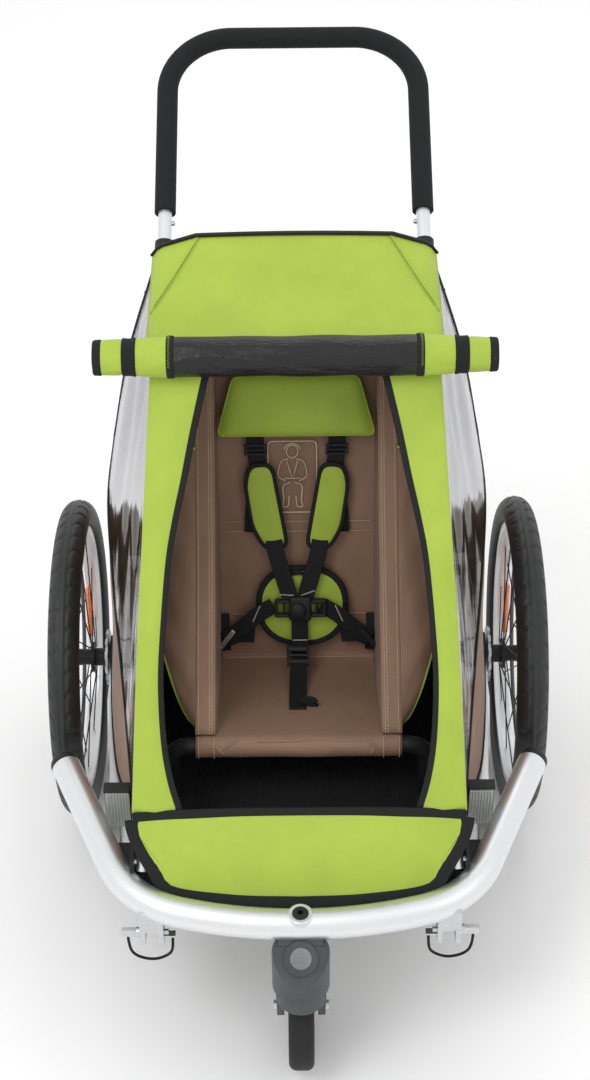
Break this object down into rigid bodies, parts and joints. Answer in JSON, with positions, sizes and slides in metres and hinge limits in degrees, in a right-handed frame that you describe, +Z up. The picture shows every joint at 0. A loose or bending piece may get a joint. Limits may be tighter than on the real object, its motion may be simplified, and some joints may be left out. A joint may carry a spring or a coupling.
{
  "type": "child bicycle trailer",
  "caption": "Folding child bicycle trailer as a stroller: tube frame, fabric cabin with harness seat, rolled cover, spoked wheels, front caster and a foam push handle.",
  "frame": {"origin": "on the ground, in the middle of the bounding box seen from above", "axes": "+Z up, the front (caster end) faces -Y, +X to the right when seen from the front bumper looking at +Y"},
  "size_m": [0.772, 1.1438, 1.0867],
  "materials": {
    "aluminium": "satin anodised",
    "steel": "brushed",
    "black_steel": "satin powder coat",
    "black_plastic": "matte",
    "grey_plastic": "fine grain",
    "rubber": "matte",
    "tyre": "moulded tread",
    "foam": "closed-cell foam",
    "green_cloth": "coated woven polyester",
    "brown_cloth": "woven nylon",
    "floor_mesh": "ribbed mesh",
    "webbing": "woven webbing",
    "clear_film": "clear flexible film",
    "reflector": "prismatic reflector"
  },
  "bodies": {
    "chassis": {"side_rails": "aluminium", "cross_tubes": "aluminium", "floor_panel": "floor_mesh", "bumper_tube": "aluminium", "bumper_end_caps": "black_plastic", "accessory_socket": "rubber", "corner_brackets": "black_plastic", "front_reflectors": "reflector", "hoop_brackets": "black_plastic", "pivot_pins": "steel", "wheel_mounts": "black_plastic", "wheel_axles": "steel", "caster_housing": "grey_plastic", "tow_clevises": "steel", "lanyard_left": "webbing", "lanyard_right": "webbing", "seat_tube": "black_steel", "seat_sling": "brown_cloth", "headrest_pillow": "green_cloth", "harness_straps": "webbing", "harness_pads": "green_cloth", "strap_adjusters": "black_plastic", "buckle_body": "black_plastic", "front_surround": "green_cloth", "front_apron": "green_cloth", "side_windows": "clear_film", "lower_cover": "brown_cloth"},
    "front_pillars": {"front_pillars": "aluminium"},
    "rear_frame": {"rear_hoop": "aluminium", "roof_bow": "aluminium", "roof_panel": "green_cloth", "handle_sockets": "black_plastic", "rolled_cover": "green_cloth"},
    "roof_latch_left": {"roof_latch_left": "black_plastic"},
    "roof_latch_right": {"roof_latch_right": "black_plastic"},
    "handle": {"handle_tube": "aluminium", "handle_foam": "foam"},
    "handle_pin_left": {"handle_pin_left": "steel"},
    "handle_pin_right": {"handle_pin_right": "steel"},
    "wheel_left": {"tyre_left": "tyre", "rim_left": "aluminium", "spokes_left": "black_steel", "hub_left": "black_steel", "brake_disc_left": "steel"},
    "wheel_right": {"tyre_right": "tyre", "rim_right": "aluminium", "spokes_right": "black_steel", "hub_right": "black_steel", "brake_disc_right": "steel"},
    "axle_button_left": {"axle_button_left": "black_plastic"},
    "axle_button_right": {"axle_button_right": "black_plastic"},
    "caster_fork": {"caster_fork": "grey_plastic", "caster_axle": "steel"},
    "caster_wheel": {"caster_tyre": "rubber", "caster_hub": "grey_plastic"},
    "caster_button": {"caster_button": "grey_plastic"},
    "brake_bar": {"brake_bar": "black_steel"},
    "lock_pin_left": {"lock_pin_left": "steel"},
    "lock_pin_right": {"lock_pin_right": "steel"},
    "buckle_button": {"buckle_button": "black_plastic"}
  },
  "joints": [
    {"name": "frame_fold", "type": "hinge", "parent": "chassis", "child": "rear_frame", "pos_m": [0, 0.16713, 0.3], "axis": [1, 0, 0], "range_deg": [0, 62], "deforming": ["front_surround", "side_windows"]},
    {"name": "pillar_fold", "type": "hinge", "parent": "chassis", "child": "front_pillars", "pos_m": [0, -0.41387, 0.32], "axis": [1, 0, 0], "range_deg": [-48.5, 0]},
    {"name": "handle_slide", "type": "slide", "parent": "rear_frame", "child": "handle", "axis": [0, 0.8763, 0.4818], "range_m": [0, 0.04]},
    {"name": "caster_swivel", "type": "hinge", "parent": "chassis", "child": "caster_fork", "pos_m": [0, -0.53187, 0.206], "axis": [0, 0, 1], "continuous": true},
    {"name": "caster_spin", "type": "hinge", "parent": "caster_fork", "child": "caster_wheel", "pos_m": [0, -0.48187, 0.09], "axis": [1, 0, 0], "continuous": true},
    {"name": "caster_button_press", "type": "slide", "parent": "chassis", "child": "caster_button", "axis": [0, 0.7071, -0.7071], "range_m": [0, 0.0025], "stiffness_N_per_m": 800, "springref_m": -0.001},
    {"name": "brake_pedal", "type": "hinge", "parent": "chassis", "child": "brake_bar", "pos_m": [0, 0.14713, 0.2], "axis": [1, 0, 0], "range_deg": [-6, 0]},
    {"name": "buckle_press", "type": "slide", "parent": "chassis", "child": "buckle_button", "axis": [0, 0.9504, -0.3112], "range_m": [0, 0.002], "stiffness_N_per_m": 600, "springref_m": -0.001},
    {"name": "wheel_spin_left", "type": "hinge", "parent": "chassis", "child": "wheel_left", "pos_m": [-0.345, 0.07213, 0.25], "axis": [1, 0, 0], "continuous": true},
    {"name": "axle_button_left_press", "type": "slide", "parent": "chassis", "child": "axle_button_left", "axis": [1, 0, 0], "range_m": [0, 0.003], "stiffness_N_per_m": 500, "springref_m": -0.001},
    {"name": "roof_latch_left_turn", "type": "hinge", "parent": "front_pillars", "child": "roof_latch_left", "pos_m": [-0.18896, -0.01548, 0.80312], "axis": [1, 0, 0], "range_deg": [0, 60]},
    {"name": "handle_pin_left_press", "type": "slide", "parent": "handle", "child": "handle_pin_left", "axis": [-1, 0, 0], "range_m": [0, 0.004], "stiffness_N_per_m": 500, "springref_m": -0.001},
    {"name": "lock_pin_left_pull", "type": "slide", "parent": "chassis", "child": "lock_pin_left", "axis": [-1, 0, 0], "range_m": [0, 0.03]},
    {"name": "wheel_spin_right", "type": "hinge", "parent": "chassis", "child": "wheel_right", "pos_m": [0.345, 0.07213, 0.25], "axis": [1, 0, 0], "continuous": true},
    {"name": "axle_button_right_press", "type": "slide", "parent": "chassis", "child": "axle_button_right", "axis": [-1, 0, 0], "range_m": [0, 0.003], "stiffness_N_per_m": 500, "springref_m": -0.001},
    {"name": "roof_latch_right_turn", "type": "hinge", "parent": "front_pillars", "child": "roof_latch_right", "pos_m": [0.18896, -0.01548, 0.80312], "axis": [1, 0, 0], "range_deg": [0, 60]},
    {"name": "handle_pin_right_press", "type": "slide", "parent": "handle", "child": "handle_pin_right", "axis": [1, 0, 0], "range_m": [0, 0.004], "stiffness_N_per_m": 500, "springref_m": -0.001},
    {"name": "lock_pin_right_pull", "type": "slide", "parent": "chassis", "child": "lock_pin_right", "axis": [1, 0, 0], "range_m": [0, 0.03]}
  ],
  "couplings": [
    {"joint": "pillar_fold", "follows": "frame_fold", "ratio": -0.77419}
  ]
}
